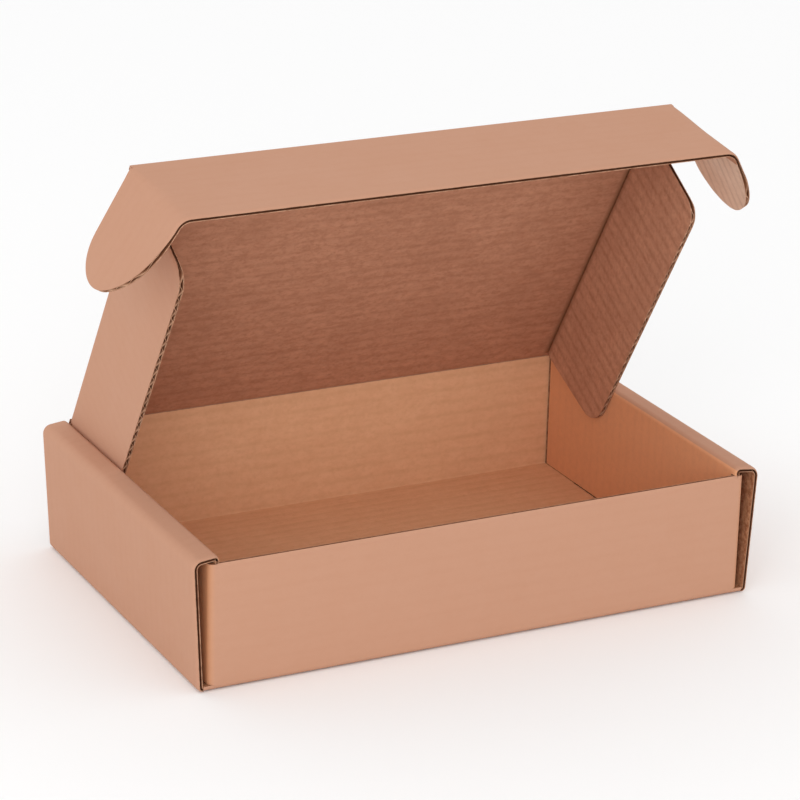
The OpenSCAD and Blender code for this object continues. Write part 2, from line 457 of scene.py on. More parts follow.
def flute_lines(shader):
    """From 0 to 1 across each flute, and 1 where the liner is glued to a flute's tip."""
    across = shader.node("ShaderNodeAttribute", attribute_name="across")
    turns = shader.math("MULTIPLY", across.outputs["Fac"], 2 * math.pi / (FLUTE_PITCH * MM))
    wave = shader.math("SINE", turns)
    return shader.math("POWER", shader.spread(wave, -1, 1), LINE_SHARPNESS)


def kraft(name, pale, deep, line_colour, line_strength, mottle, tones=(), fibre_bump=0.3):
    """One paper. tones pairs a mark on the points with a colour painted there, which stands in for light or
    shade.
    """
    shader = Shader(name)
    cloud = shader.grain(**CLOUD)
    colour = shader.mix(shader.math("MULTIPLY", cloud, mottle * CLOUD_SHARE), pale, deep)
    for mark, tone in tones:
        amount = shader.node("ShaderNodeAttribute", attribute_name=mark)
        colour = shader.mix(amount.outputs["Fac"], colour, tone)
    for grain, share, tone in (
        (STREAK, FLECK_SHARE, deep), (FLECK, FLECK_SHARE, deep), (PALE_FLECK, PALE_SHARE, pale)
    ):
        colour = shader.mix(shader.math("MULTIPLY", shader.grain(**grain), mottle * share), colour, tone)
    broken = shader.grain(
        low=line_strength * FAINTEST_LINE, high=line_strength * STRONGEST_LINE, **BROKEN_LINE
    )
    lines = shader.math("MULTIPLY", flute_lines(shader), broken)
    colour = shader.mix(lines, colour, line_colour)
    shader.link(colour, shader.surface.inputs["Base Color"])
    roughness = shader.spread(cloud, 0, 1, *PAPER_ROUGHNESS)
    shader.link(roughness, shader.surface.inputs["Roughness"])
    shader.surface.inputs["Specular IOR Level"].default_value = PAPER_SPECULAR
    bump = shader.node("ShaderNodeBump")
    bump.inputs["Strength"].default_value = fibre_bump
    bump.inputs["Distance"].default_value = FIBRE_HEIGHT
    shader.link(shader.noise(**FIBRE), bump.inputs["Height"])
    shader.link(bump.outputs["Normal"], shader.surface.inputs["Normal"])
    return shader.material


# Painted warm light on the outer liner: inside each rolled wall, and in the recess at each front corner.
OUTER_PAINTED_LIGHT = (("rolled", srgb(226, 163, 120)), ("tucked", srgb(212, 150, 108)))
# Painted shade on the tray's inner liner where it lies hidden between layers or in a gap.
TRAY_PAINTED_SHADE = (("hidden", srgb(140, 88, 58)),)
# Painted shade on the inner liners of the lid and side flaps, in the inner corner of each side flap crease.
LID_PAINTED_SHADE = (("painted_crease_shade", srgb(146, 96, 68)),)
# A painted highlight on the flute paper near a cut edge, where the open flute ends catch the light.
FLUTE_PAINTED_LIGHT = (("painted_edge_light", srgb(224, 180, 148)),)
outer_kraft = kraft(
    "outer_kraft", srgb(193, 145, 119), srgb(186, 136, 108), srgb(180, 128, 99), 0.06, 0.12, OUTER_PAINTED_LIGHT, 0.15
)
lid_kraft = kraft(
    "lid_inner_kraft", srgb(196, 142, 113), srgb(167, 115, 88), srgb(148, 98, 72), 0.22, 0.65, LID_PAINTED_SHADE
)
flap_kraft = kraft(
    "flap_inner_kraft", srgb(200, 148, 119), srgb(171, 120, 94), srgb(146, 96, 71), 0.34, 0.65, LID_PAINTED_SHADE
)
# The same liner as the lid's, made lighter and warmer: painted light on the inside of the tray.
tray_kraft_painted_light = kraft(
    "tray_inner_kraft_painted_light", srgb(232, 183, 143), srgb(217, 165, 126), srgb(200, 147, 108), 0.2, 0.5, TRAY_PAINTED_SHADE
)
# The same liner as the tuck flap's, made lighter and paler: painted light on the ears.
ear_kraft_painted_light = kraft("ear_inner_kraft_painted_light", srgb(230, 200, 178), srgb(212, 180, 156), srgb(176, 140, 118), 0.35, 0.5)
# A darker brown for the medium and the liners' inner sides: painted shade inside the flutes and crease cores.
flute_kraft_painted_shade = kraft(
    "flute_kraft_painted_shade", srgb(150, 97, 66), srgb(120, 74, 48), srgb(120, 74, 48), 0.0, 0.4, FLUTE_PAINTED_LIGHT
)
cut_kraft = kraft("cut_kraft", srgb(206, 160, 130), srgb(136, 90, 64), srgb(136, 90, 64), 0.0, 0.9)
papers = (outer_kraft, lid_kraft, flap_kraft, tray_kraft_painted_light, ear_kraft_painted_light, flute_kraft_painted_shade, cut_kraft)
print("materials:", [m.name for m in papers])

# %% [markdown]
# ## From a bare sheet to corrugated board
# Corrugated board repeats one wave over and over, so Geometry Nodes make it. The tree takes the bare sheet
# and lays three papers over it. The medium rises and falls once for each flute. The two liners lie above
# and below it, and sink a little between the tips that they are glued to, which is the washboard look of
# real board. Each paper is pushed out along its normal and closed, so it has a real thickness at every cut
# edge. Near a cut edge the layers come closer together, by the crushed mark. Beside an edge that was cut
# along a flute the medium is left out, because there the cut opens one long dark groove.

# %% The corrugated board tree
OUTER_SHARE = 0.75
OUTER_WASHBOARD = 0.03
INNER_WASHBOARD = 0.07
EDGE_CRUSH = 0.9
MERGE_DISTANCE_M = 1e-6


class TreeMaker(Wiring):
    """A small hand for wiring a Geometry Nodes tree."""

    def __init__(self, name):
        self.tree = bpy.data.node_groups.new(name, "GeometryNodeTree")
        self.sockets = {}
        self.inputs = self.tree.nodes.new("NodeGroupInput")
        self.outputs = self.tree.nodes.new("NodeGroupOutput")

    def socket(self, name, kind, side="INPUT"):
        made = self.tree.interface.new_socket(name=name, in_out=side, socket_type=kind)
        self.sockets[name] = made.identifier
        return made

    def mark(self, name, kind="FLOAT"):
        """Reads one of the marks that the sheet carries."""
        made = self.node("GeometryNodeInputNamedAttribute", data_type=kind)
        made.inputs["Name"].default_value = name
        return made.outputs["Attribute"]


def corrugated_board_tree():
    maker = TreeMaker("corrugated_board")
    maker.socket("Geometry", "NodeSocketGeometry")
    for size in ("Board", "Paper", "Flute pitch", "Outer washboard", "Inner washboard", "Edge crush"):
        maker.socket(size, "NodeSocketFloat")
    for finish in ("Outer liner", "Inner liner", "Flute paper", "Cut edge"):
        maker.socket(finish, "NodeSocketMaterial")
    maker.socket("Geometry", "NodeSocketGeometry", "OUTPUT")
    given = maker.inputs.outputs
    turns = maker.math("DIVIDE", maker.mark("across"), given["Flute pitch"])
    wave = maker.math("SINE", maker.math("MULTIPLY", turns, 2 * math.pi))
    half = maker.math("MULTIPLY", given["Board"], 0.5)
    normal = maker.node("GeometryNodeInputNormal")
    joined = maker.node("GeometryNodeJoinGeometry")

    def paper_layer(sheet, level, swing, outer_side, inner_side):
        height = maker.math("ADD", level, maker.math("MULTIPLY", swing, wave))
        push = maker.node("ShaderNodeVectorMath", operation="SCALE")
        maker.link(normal.outputs["Normal"], push.inputs[0])
        maker.link(height, push.inputs["Scale"])
        moved = maker.node("GeometryNodeSetPosition")
        maker.link(sheet, moved.inputs["Geometry"])
        maker.link(push.outputs[0], moved.inputs["Offset"])
        thick = maker.node("GeometryNodeExtrudeMesh", mode="FACES")
        thick.inputs["Individual"].default_value = False
        maker.link(moved.outputs["Geometry"], thick.inputs["Mesh"])
        maker.link(given["Paper"], thick.inputs["Offset Scale"])
        edged = maker.node("GeometryNodeStoreNamedAttribute", data_type="BOOLEAN", domain="FACE")
        edged.inputs["Name"].default_value = "cut_edge"
        maker.link(thick.outputs["Mesh"], edged.inputs["Geometry"])
        maker.link(thick.outputs["Side"], edged.inputs["Value"])
        top = maker.node("GeometryNodeSetMaterial")
        maker.link(edged.outputs["Geometry"], top.inputs["Geometry"])
        maker.link(outer_side, top.inputs["Material"])
        under = maker.node("GeometryNodeFlipFaces")
        maker.link(moved.outputs["Geometry"], under.inputs["Mesh"])
        bottom = maker.node("GeometryNodeSetMaterial")
        maker.link(under.outputs["Mesh"], bottom.inputs["Geometry"])
        maker.link(inner_side, bottom.inputs["Material"])
        both = maker.node("GeometryNodeJoinGeometry")
        maker.link(top.outputs["Geometry"], both.inputs[0])
        maker.link(bottom.outputs["Geometry"], both.inputs[0])
        closed = maker.node("GeometryNodeMergeByDistance")
        closed.inputs["Distance"].default_value = MERGE_DISTANCE_M
        maker.link(both.outputs[0], closed.inputs["Geometry"])
        maker.link(closed.outputs["Geometry"], joined.inputs[0])

    filled = maker.node("GeometryNodeDeleteGeometry", domain="FACE")
    maker.link(given["Geometry"], filled.inputs["Geometry"])
    maker.link(maker.mark("hollow", "BOOLEAN"), filled.inputs["Selection"])
    crush = maker.math("MULTIPLY", maker.mark("crushed"), given["Edge crush"])
    outer_crush = maker.math("MULTIPLY", crush, OUTER_SHARE)
    inner_crush = maker.math("MULTIPLY", crush, 1 - OUTER_SHARE)
    outer_sink = maker.math("MULTIPLY", given["Outer washboard"], 0.5)
    inner_sink = maker.math("MULTIPLY", given["Inner washboard"], 0.5)
    under_outer = maker.math("SUBTRACT", half, given["Paper"])
    whole = given["Geometry"]
    flute_paper = given["Flute paper"]
    outer_level = maker.math("SUBTRACT", maker.math("SUBTRACT", under_outer, outer_sink), outer_crush)
    paper_layer(whole, outer_level, outer_sink, given["Outer liner"], flute_paper)
    inner_level = maker.math("ADD", maker.math("SUBTRACT", inner_sink, half), inner_crush)
    paper_layer(whole, inner_level, inner_sink, flute_paper, given["Inner liner"])
    half_paper = maker.math("MULTIPLY", given["Paper"], 0.5)
    half_crush = maker.math("MULTIPLY", crush, 0.5)
    room = maker.math("SUBTRACT", maker.math("SUBTRACT", under_outer, half_paper), half_crush)
    shift = maker.math("MULTIPLY", maker.math("SUBTRACT", inner_crush, outer_crush), 0.5)
    medium_level = maker.math("SUBTRACT", shift, half_paper)
    paper_layer(filled.outputs[0], medium_level, room, flute_paper, flute_paper)
    real = maker.node("GeometryNodeRealizeInstances")
    maker.link(joined.outputs[0], real.inputs["Geometry"])
    edges = maker.node("GeometryNodeSetMaterial")
    maker.link(real.outputs["Geometry"], edges.inputs["Geometry"])
    maker.link(maker.mark("cut_edge", "BOOLEAN"), edges.inputs["Selection"])
    maker.link(given["Cut edge"], edges.inputs["Material"])
    maker.link(edges.outputs["Geometry"], maker.outputs.inputs["Geometry"])
    return maker


board_tree = corrugated_board_tree()
print("nodes in the board tree:", len(board_tree.tree.nodes))

# %% [markdown]
# ## Running the tree
# One helper runs the tree for every panel. It sets the modifier's inputs by their identifiers, turns the
# evaluated result into a plain mesh and throws the bare sheet away. A smooth look suits paper, and only
# true corners stay sharp.

# %% Turn a sheet into board
SHARP_ANGLE = math.radians(35)
print("corners stay sharp above", round(math.degrees(SHARP_ANGLE)), "degrees")


def corrugate(sheet, name, inner_liner):
    """Runs the tree on a sheet and returns a plain mesh object, without modifiers."""
    flat = sheet.to_object(name + "_middle")
    modifier = flat.modifiers.new("board", "NODES")
    modifier.node_group = board_tree.tree
    values = {
        "Board": BOARD * MM,
        "Paper": PAPER * MM,
        "Flute pitch": FLUTE_PITCH * MM,
        "Outer washboard": OUTER_WASHBOARD * MM,
        "Inner washboard": INNER_WASHBOARD * MM,
        "Edge crush": EDGE_CRUSH * MM,
        "Outer liner": outer_kraft,
        "Inner liner": inner_liner,
        "Flute paper": flute_kraft_painted_shade,
        "Cut edge": cut_kraft,
    }
    for key, value in values.items():
        modifier[board_tree.sockets[key]] = value
    depsgraph = bpy.context.evaluated_depsgraph_get()
    mesh = bpy.data.meshes.new_from_object(flat.evaluated_get(depsgraph))
    bpy.data.objects.remove(flat)
    mesh.shade_smooth()
    mesh.set_sharp_from_angle(angle=SHARP_ANGLE)
    print(name, "faces:", len(mesh.polygons))
    return placed(name, mesh)


# %% [markdown]
# ## The tray
# The tray is folded from three kinds of panel. The floor runs up into the front and back panels. At each
# side a panel rises, rolls over at the rim and comes back down inside. Between its layers lie the dust
# flaps, which are the folded ends of the front and back panels.

# %% Floor, front panel and back panel
CORNER_BEND = 3.6
CORNER_STRAIGHT = 0.5
TAB_WIDTH = 30
TAB_OFFSET = 52
SLOT_GAP = 0.4
STUB_REACH = 4.5
STUB_GAP = 0.03
SHADE_EDGE = 0.1
mid_front = front_y + HALF
mid_back = back_y - HALF
corner_start = panel_half - CORNER_BEND - CORNER_STRAIGHT
slot_near = inner_face - SLOT_GAP
slot_far = inner_face + BOARD + SLOT_GAP
slot_edges = [
    side * TAB_OFFSET + end * (TAB_WIDTH / 2 + SLOT_GAP) for side in (-1, 1) for end in (-1, 1)
]
print("slots lie", round(slot_near, 1), "to", round(slot_far, 1), "mm beside the middle")


def in_slot(point):
    beside = abs(abs(point.y) - TAB_OFFSET) < TAB_WIDTH / 2 + SLOT_GAP
    return beside and point.z < BOARD and slot_near < abs(point.x) < slot_far


def corner_stub(sheet, side, end):
    """The floor's own corner, where the front or back fold runs on to the side fold."""
    section = rounded(
        [(mid_front, clear_z - STUB_GAP), (mid_front, HALF), (mid_front + STUB_REACH, HALF)], [FOLD_RADIUS]
    )
    xs = [corner_start, foot_x - FOLD_RADIUS]
    columns = [[Vector((side * x, -end * p.x, p.y)) for x in xs] for p in section]
    stops = [path_length(section[: i + 1]) for i in range(len(section))]
    # The corner's inner liner gets painted shade all over.
    hidden = marked(columns, lambda point: 1.0)
    sheet.add_grid(columns, stops, BACK * end, hidden=hidden)


def floor_panels(sheet):
    section = rounded(
        [(mid_front, front_h), (mid_front, HALF), (mid_back, HALF), (mid_back, hinge.z)],
        [FOLD_RADIUS, FOLD_RADIUS],
    )
    total = path_length(section)
    floor_from = total / 2 - (hinge.z - front_h) / 2
    extra = [floor_from + y for y in slot_edges] + [total - HALF]
    stops = steps_between(0, total, FINE_STEP, extra)
    half_xs = (slot_near, inner_face + SHADE_EDGE, flap_face, corner_start)
    xs = sorted(side * x for side in (-1, 1) for x in half_xs)
    columns = [[Vector((x, p.x, p.y)) for x in xs] for p in resampled(section, stops)]

    def keep(point):
        beside_lid = point.z > front_h and point.y > 0 and abs(point.x) > flap_face
        return not in_slot(point) and not beside_lid

    def hollow(point):
        return point.y < 0 and point.z > front_h - EDGE_REACH

    crushed = marked(columns, lambda point: crush_at(front_h - point.z) if point.y < 0 else 0.0)
    # Painted shade on the inner liner past the inside face of each side wall, seen as a dark line in the gap.
    hidden = marked(columns, lambda point: 1.0 if abs(point.x) > inner_face else 0.0)
    sheet.add_grid(columns, stops, -BACK, keep, hollow, crushed=crushed, hidden=hidden)
    for end in (-1, 1):
        for side in (-1, 1):
            corner_stub(sheet, side, end)


# %% [markdown]
# ## The rolled side walls
# On the real box each side panel rises from the floor, leans out a little, turns over at the rim and comes
# down inside, where two tabs lock it into the floor. One folded path, repeated from front to back, draws
# both layers and the rim between them. The tabs and slots are made by keeping some faces and leaving out
# others.

# %% Rolled side walls
RIM_RISE = 0.6
RIM_SLOPE = 1.5
RIM_BEND = 4
WALL_LEAN = 3.5
PANEL_END_GAP = 1.5
ON_INNER_PANEL = 0.1
WARM_LIGHT_REACH = 0.4
rim_low = front_h + BOARD + RIM_RISE - HALF
print("rim height:", round(rim_low + HALF, 1), "mm")


def rolled_wall(sheet, side):
    path = rounded(
        [
            (corner_start, HALF),
            (foot_x, HALF),
            (foot_x + WALL_LEAN, rim_low),
            (inner_x, rim_low + RIM_SLOPE),
            (inner_x, SLOT_GAP),
        ],
        [FOLD_RADIUS, RIM_BEND, FOLD_RADIUS],
    )
    path.insert(1, Vector((slot_far, HALF)))
    path.insert(-1, Vector((inner_x, front_h + PLY_GAP)))
    path.insert(-1, Vector((inner_x, clear_z)))
    panel_end = back_y - BOARD - PANEL_END_GAP
    tab_edges = [s * TAB_OFFSET + e * TAB_WIDTH / 2 for s in (-1, 1) for e in (-1, 1)]
    stub_end = back_y - HALF - STUB_REACH
    groove_end = back_y - EDGE_REACH
    lip = back_y - EDGE_REACH / 2
    ends = [sign * end for sign in (-1, 1) for end in (panel_end, stub_end, groove_end, lip)]
    stops = steps_between(front_y, back_y, COARSE_STEP, sorted(ends + slot_edges + tab_edges))
    columns = [[Vector((side * p.x, y, p.y)) for p in path] for y in stops]

    def keep(point):
        inside = abs(abs(point.x) - inner_x) < ON_INNER_PANEL
        on_tab = abs(abs(point.y) - TAB_OFFSET) < TAB_WIDTH / 2
        cut_short = inside and point.z < front_h + PLY_GAP and abs(point.y) > panel_end
        past_foot = inside and point.z < clear_z and not on_tab
        in_stub = abs(point.x) < foot_x - FOLD_RADIUS and point.z < BOARD and abs(point.y) > stub_end
        return not (in_slot(point) or cut_short or past_foot or in_stub)

    # The inside face of the rolled wall gets a lighter, warmer tone: painted warm light bounced round the
    # tray.
    def rolled(point):
        return 1.0 if abs(abs(point.x) - inner_x) < WARM_LIGHT_REACH and point.z > BOARD else 0.0

    def hollow(point):
        return abs(point.y) > groove_end

    marks = {
        "rolled": marked(columns, rolled),
        # The liner between the wall's two layers gets painted shade all over.
        "hidden": marked(columns, lambda point: 1.0),
        "crushed": marked(columns, lambda point: crush_at(back_y - abs(point.y))),
    }
    sheet.add_grid(columns, stops, -UP, keep, hollow, **marks)


# %% [markdown]
# ## The folded corners
# The front and back panels turn round at each corner and end in a dust flap, which lies hidden between the
# two layers of the side wall. Only a narrow strip of it shows at the front, in a recess. There its paper
# gets a warmer tone, which is painted warm light, and its inner liner a darker one, which is painted shade.

# %% Folded corners and dust flaps
DUST_FLAP_GAP = 16
dust_end = (back_y - front_y - DUST_FLAP_GAP) / 2 + front_y
print("a dust flap reaches", round(dust_end - front_y, 1), "mm back")


def dust_flap(sheet, side, end):
    path = rounded(
        [(corner_start, mid_front), (dust_x, mid_front), (dust_x, dust_end)], [CORNER_BEND - HALF]
    )
    stops = steps_between(clear_z, front_h, COARSE_STEP)
    columns = [[Vector((side * p.x, end * -p.y, z)) for p in path] for z in stops]

    def turned_in(point):
        return min(1.0, (abs(point.x) - corner_start) / (dust_x - corner_start)) ** 2

    # How far round the corner the flap has turned: painted warm light on its outer liner, painted shade on
    # its inner liner.
    tucked = marked(columns, turned_in)
    sheet.add_grid(columns, [front_h - z for z in stops], BACK * end, tucked=tucked, hidden=tucked)


# %% Make the tray
tray_sheet = MiddleSheet()
floor_panels(tray_sheet)
for side in (-1, 1):
    rolled_wall(tray_sheet, side)
    for end in (-1, 1):
        dust_flap(tray_sheet, side, end)
tray_board = corrugate(tray_sheet, "tray_board", tray_kraft_painted_light)

# %% [markdown]
# ## Lid, tuck flap, side flaps and ears
# These are flat panels. Their flutes all run the same way, along the width of the box, because the whole
# sheet is cut from one piece. A curved end only means that each flute has its own length, so one function
# draws them all, from where each flute starts and where it ends.

# %% Flat panels
SIDE_FLAP_END = 14
SIDE_FLAP_HEIGHT = 64
SIDE_FLAP_START = 4
SIDE_FLAP_SLANT = 8
SIDE_ROOT = 1.2
SIDE_FLAP_REAR_RADIUS = 16
SIDE_FLAP_FRONT_RADIUS = 11
TUCK_HEIGHT = 68
TUCK_PLAY = 0.5
EAR_LENGTH = 58.5
EAR_START = 2
EAR_SLANT = 2.5
EAR_SMALL_RADIUS = 23
EAR_LARGE_RADIUS = 56
BEND_REACH = 7
BEND_TANGENT = 4.8
BEND_LOW = 5
BEND_GROWTH = 35
SHOULDER_STEP = 1
SLANT_PAST = 1
EAR_SMALL_STEPS = 24
EAR_LARGE_STEPS = 32
lid_start = HALF + CREASE_GAP
side_root = lid_len - SIDE_FLAP_END
print("side flaps:", round(side_root - SIDE_FLAP_START, 1), "mm long, tuck flap:", TUCK_HEIGHT, "mm high")


def lid_panel(sheet):
    def place(u, v):
        return hinge + RIGHT * u + lid_along * v

    shoulder = lid_len - SIDE_FLAP_END + SHOULDER_STEP
    lip = lid_len - HALF - TUCK_PLAY / 2
    for low, high, width, end in (
        (lid_start, SIDE_FLAP_START, flap_face, "plain"),
        (SIDE_FLAP_START, shoulder, crease_x, "crease"),
        (shoulder, lip, flap_face, "plain"),
        (lip, lid_len, ear_x, "plain"),
    ):
        stops = steps_between(low, high, FINE_STEP)
        sheet.flat_panel(place, [-width] * len(stops), [width] * len(stops), stops, lid_out, (end, end))


def tuck_place(u, v):
    return tuck_crease + RIGHT * u + tuck_along * v


def beside_free_edge(point):
    return (point - tuck_crease).dot(tuck_along) > TUCK_HEIGHT - EDGE_REACH


def tuck_panel(sheet):
    stops = steps_between(lid_start, TUCK_HEIGHT, FINE_STEP)
    reach = ear_x - BEND_REACH
    lows, highs = [-reach] * len(stops), [reach] * len(stops)
    sheet.flat_panel(
        tuck_place, lows, highs, stops, tuck_out, hollow=beside_free_edge, cut=TUCK_HEIGHT
    )


def ear_first(u):
    """How far from the lid the ear begins, a little past its slanted rear edge."""
    return EAR_START + EAR_SLANT * (u + SLANT_PAST) / (EAR_LENGTH - EAR_SMALL_RADIUS)


def ear_bend(sheet, mirror):
    """The soft bend between the tuck flap and an ear: crisp at the lid, and wider towards the free edge."""
    columns, crushed = [], []
    stops = steps_between(lid_start, TUCK_HEIGHT, FINE_STEP)
    for v in stops:
        share = min(1.0, max(0.0, (v - BEND_LOW) / BEND_GROWTH))
        tangent = lid_start + (BEND_TANGENT - lid_start) * share * share * (3 - 2 * share)
        far = (BEND_REACH * math.cos(EAR_FOLD), -BEND_REACH * math.sin(EAR_FOLD))
        path = rounded([(-BEND_REACH, 0), (0, 0), far], [tangent / math.tan(EAR_FOLD / 2)])
        slant = (ear_first(BEND_REACH) - lid_start) * max(0.0, 1 - (v - lid_start) / BEND_REACH)
        column = [
            tuck_place(ear_x + p.x, v + slant * max(0.0, p.x) / far[0]) + tuck_out * p.y for p in path
        ]
        columns.append([mirrored(p) for p in column] if mirror else column)
        crushed.append([crush_at(TUCK_HEIGHT - v)] * len(column))
    sheet.add_grid(columns, stops, tuck_out, hollow=beside_free_edge, crushed=crushed)


SLIVER = 0.05


def flute_ends(outline, stops, root):
    """Where each flute starts and ends, from the root to the outline."""
    reach = np.interp(stops, [p.y for p in outline], [p.x for p in outline])
    return [root] * len(stops), [max(r, root + SLIVER) for r in reach]


def side_flap_panel(sheet, mirror):
    outline = rounded(
        [
            (0, SIDE_FLAP_START),
            (SIDE_FLAP_HEIGHT, SIDE_FLAP_START + SIDE_FLAP_SLANT),
            (SIDE_FLAP_HEIGHT, side_root),
            (SIDE_FLAP_HEIGHT / 2, side_root),
        ],
        [SIDE_FLAP_REAR_RADIUS, SIDE_FLAP_FRONT_RADIUS],
    )[:-1]
    first = SIDE_FLAP_START + SIDE_FLAP_SLANT * (SIDE_ROOT + SLANT_PAST) / SIDE_FLAP_HEIGHT
    stops = steps_between(first, side_root, FINE_STEP)
    mid_x = crease_x + HALF

    def place(u, v):
        point = hinge + RIGHT * mid_x + lid_along * v - lid_out * (HALF + u)
        return mirrored(point) if mirror else point

    def hollow(point):
        return (point - hinge).dot(lid_along) > side_root - EDGE_REACH

    outward = -RIGHT if mirror else RIGHT
    lows, highs = flute_ends(outline, stops, SIDE_ROOT)
    sheet.flat_panel(place, lows, highs, stops, outward, ("crease", "cut"), hollow, side_root)


def arc_points(across, along, radius, angles):
    """Points of an arc round a centre, at angles that start from the free edge."""
    return [Vector((across + radius * math.sin(a), along + radius * math.cos(a))) for a in angles]


def ear_outline():
    """The slanted rear edge, the small bend and the long curve, which meet without a corner."""
    rear = EAR_START + EAR_SLANT
    small_v = rear + EAR_SMALL_RADIUS
    small_u = EAR_LENGTH - EAR_SMALL_RADIUS
    large_v = TUCK_HEIGHT - EAR_LARGE_RADIUS
    gap = EAR_LARGE_RADIUS - EAR_SMALL_RADIUS
    meet = math.acos((small_v - large_v) / gap)
    large_u = small_u - gap * math.sin(meet)
    small = [math.pi + (meet - math.pi) * i / EAR_SMALL_STEPS for i in range(EAR_SMALL_STEPS + 1)]
    large = [meet * (1 - i / EAR_LARGE_STEPS) for i in range(1, EAR_LARGE_STEPS + 1)]
    points = [Vector((0, EAR_START))]
    points += arc_points(small_u, small_v, EAR_SMALL_RADIUS, small)
    points += arc_points(large_u, large_v, EAR_LARGE_RADIUS, large)
    return points


def ear_panel(sheet, mirror):
    stops = steps_between(ear_first(BEND_REACH), TUCK_HEIGHT, FINE_STEP)

    def place(u, v):
        point = tuck_crease + RIGHT * ear_x + tuck_along * v + ear_along * u
        return mirrored(point) if mirror else point

    outward = mirrored(ear_out) if mirror else ear_out
    lows, highs = flute_ends(ear_outline(), stops, BEND_REACH)
    sheet.flat_panel(place, lows, highs, stops, outward, ("plain", "cut"), beside_free_edge, TUCK_HEIGHT)


# %% Make the moving panels
def make_board(name, inner_liner, draw, *options):
    sheet = MiddleSheet()
    draw(sheet, *options)
    return corrugate(sheet, name, inner_liner)


lid_board = make_board("lid_board", lid_kraft, lid_panel)
tuck_board = make_board("tuck_flap_board", lid_kraft, tuck_panel)
left_flap_board = make_board("left_side_flap_board", flap_kraft, side_flap_panel, True)
right_flap_board = make_board("right_side_flap_board", flap_kraft, side_flap_panel, False)
left_ear_board = make_board("left_ear_board", ear_kraft_painted_light, ear_panel, True)
right_ear_board = make_board("right_ear_board", ear_kraft_painted_light, ear_panel, False)
left_bend = make_board("left_ear_bend", lid_kraft, ear_bend, True)
right_bend = make_board("right_ear_bend", lid_kraft, ear_bend, False)

# %% [markdown]
# ## Creases
# At a crease the board is pressed flat and the outer liner stretches round the fold without a break. Each
# crease is a strip of that liner, from one panel, round the fold, to the next, made where the panels rest.
# Under it lies a round core of crushed board, which rides on the panel that carries the crease.

# %% Crease strips and cores
STRIP_TAIL = 2.4
STRIP_RISE = 0.03
CREASE_STEPS = 12
ROD_SIDES = 20
QUARTER_STEPS = 8
print("a crease bends in", CREASE_STEPS, "steps")


def solid_from_sections(name, sections, material):
    """Joins closed sections, each a list of points, into a closed tube with flat ends."""
    count = len(sections[0])
    points = [p * MM for section in sections for p in section]
    faces = []
    for s in range(len(sections) - 1):
        for i in range(count):
            a, b = s * count + i, s * count + (i + 1) % count
            faces.append((a, b, b + count, a + count))
    last = (len(sections) - 1) * count
    faces.append(tuple(reversed(range(count))))
    faces.append(tuple(range(last, last + count)))
    mesh = bpy.data.meshes.new(name)
    mesh.from_pydata(points, [], faces)
    mesh.materials.append(material)
    return placed(name, mesh)


def outward_faces(obj):
    """Turns the faces outwards, by the sign of the volume that they enclose."""
    mesh = obj.data
    mesh.calc_loop_triangles()
    volume = 0.0
    for t in mesh.loop_triangles:
        a, b, c = (mesh.vertices[v].co for v in t.vertices)
        volume += a.dot(b.cross(c))
    if volume < 0:
        mesh.flip_normals()
    mesh.shade_smooth()
    mesh.set_sharp_from_angle(angle=SHARP_ANGLE)
    return obj


def crease_strip(name, centre, radius, first_out, second_out, first_along, second_along, axis, span):
    """A strip of outer liner from one panel, round the fold, to the next."""
    angle = first_out.angle(second_out)
    line = [(centre - first_along * STRIP_TAIL, first_out)]
    for step in range(CREASE_STEPS + 1):
        share = step / CREASE_STEPS
        out = (first_out * math.cos(angle * share) + first_along * math.sin(angle * share)).normalized()
        line.append((centre, out))
    line.append((centre + second_along * STRIP_TAIL, second_out))
    rises = [-STRIP_RISE] + [STRIP_RISE] * (len(line) - 2) + [-STRIP_RISE]
    top = [p + out * (radius + rise) for (p, out), rise in zip(line, rises)]
    under = [p + out * (radius - PAPER) for p, out in reversed(line)]
    section = top + under
    sections = [[p + axis * t for p in section] for t in span]
    strip = outward_faces(solid_from_sections(name, sections, outer_kraft))
    start = (centre + first_out * radius) * MM
    end = (centre + second_out * radius) * MM
    return strip, start, end


def crease_core(name, centre, radius, axis, span, first, quarter=None):
    """A rod of crushed board along the crease, or a quarter of one between two directions."""
    if quarter is None:
        side = axis.cross(first).normalized()
        angles = [2 * math.pi * i / ROD_SIDES for i in range(ROD_SIDES)]
        section = [centre + (first * math.cos(a) + side * math.sin(a)) * radius for a in angles]
    else:
        angles = [math.pi / 2 * i / QUARTER_STEPS for i in range(QUARTER_STEPS + 1)]
        section = [centre] + [centre + (first * math.cos(a) + quarter * math.sin(a)) * radius for a in angles]
    sections = [[p + axis * t for p in section] for t in span]
    return outward_faces(solid_from_sections(name, sections, flute_kraft_painted_shade if quarter else outer_kraft))


def side_pair(make):
    """Makes a piece on the left, and its mirror image on the right."""
    for side_name, side in (("left", -1), ("right", 1)):
        make(side_name, side)


# %% Lid hinge and tuck crease
CORE_GAP = PAPER * 0.9
TUCK_CREASE_PAST = 0.2
tuck_span = (-ear_x - TUCK_CREASE_PAST, ear_x + TUCK_CREASE_PAST)
print("the tuck crease is", round(tuck_span[1] - tuck_span[0], 1), "mm long")


def finish_strip(strip, start, end):
    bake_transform(strip)
    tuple(start)
    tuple(end)


def finish_core(core, body):
    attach(core, body)


